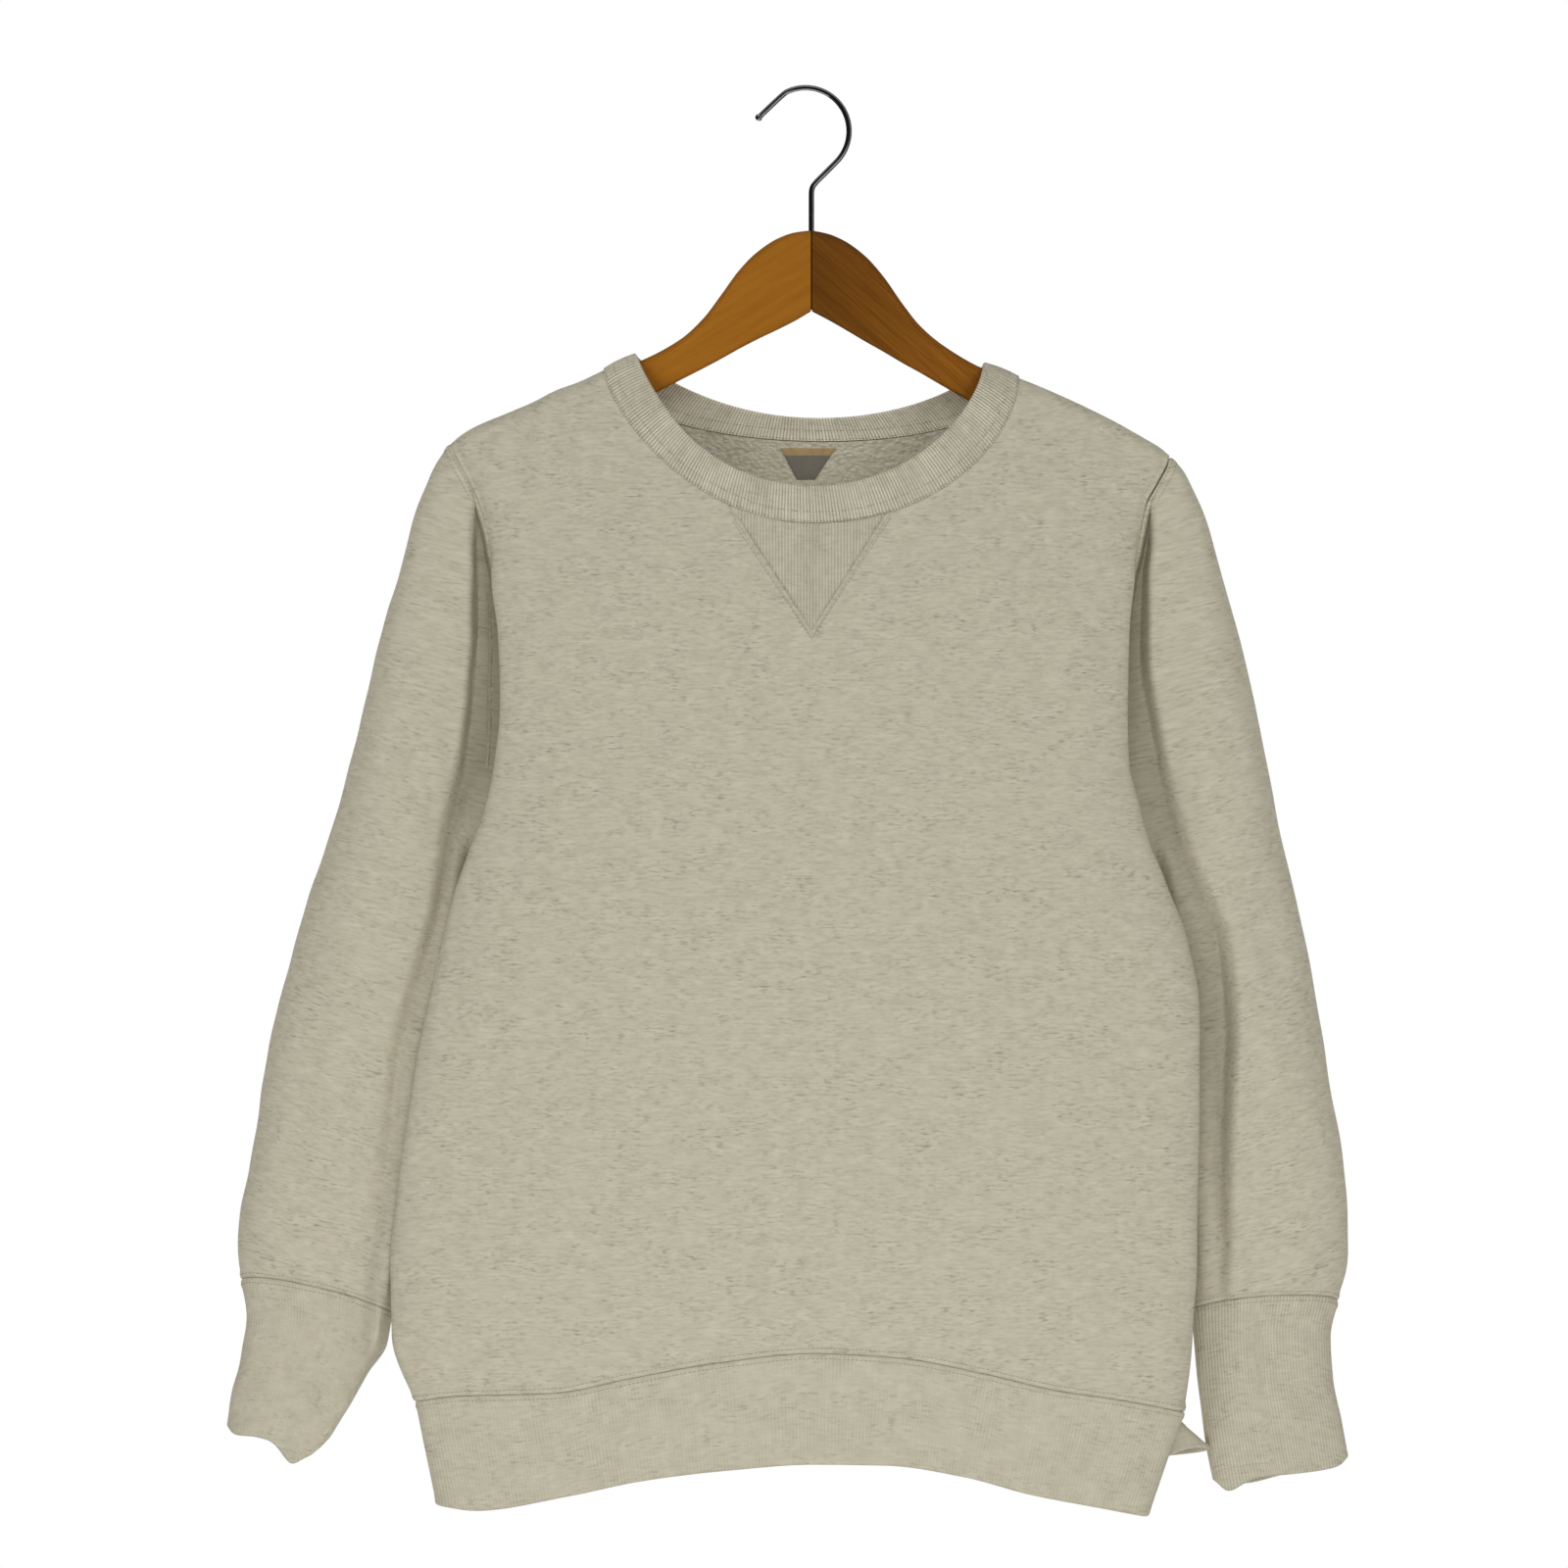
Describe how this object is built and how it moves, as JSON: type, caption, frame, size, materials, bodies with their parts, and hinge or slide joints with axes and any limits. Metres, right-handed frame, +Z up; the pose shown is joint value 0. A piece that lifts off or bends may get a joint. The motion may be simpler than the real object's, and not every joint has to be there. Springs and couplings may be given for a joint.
{
  "type": "crew-neck pullover sweatshirt on a wooden hanger",
  "caption": "Crew-neck fleece sweatshirt with set-in long sleeves, ribbed collar, cuffs and hem, hanging flat on a two-part wooden hanger with a wire hook.",
  "frame": {"origin": "inner top of the hook, where the rail carries it", "axes": "+Z up along the hook's stem, +X to the wearer's left, +Y out of the garment's back, so the front faces -Y"},
  "size_m": [0.6883, 0.0916, 0.8778],
  "materials": {
    "heather_fleece": "matt heather cotton fleece, brushed or looped inside",
    "heather_rib": "matt heather cotton rib knit",
    "woven_label": "woven, matt",
    "wood_honey": "varnished, satin",
    "wood_brown": "varnished, satin",
    "chrome": "polished"
  },
  "bodies": {
    "root": {"front_panel": "heather_fleece", "back_panel": "heather_fleece", "sleeve_right": "heather_fleece", "sleeve_left": "heather_fleece", "cuff_right": "heather_rib", "cuff_left": "heather_rib", "neck_rib": "heather_rib", "front_gusset": "heather_rib", "hem_rib": "heather_rib", "neck_label": "woven_label", "hanger_arm_right": "wood_honey", "hanger_arm_left": "wood_brown", "hanger_hook": "chrome"}
  },
  "joints": []
}
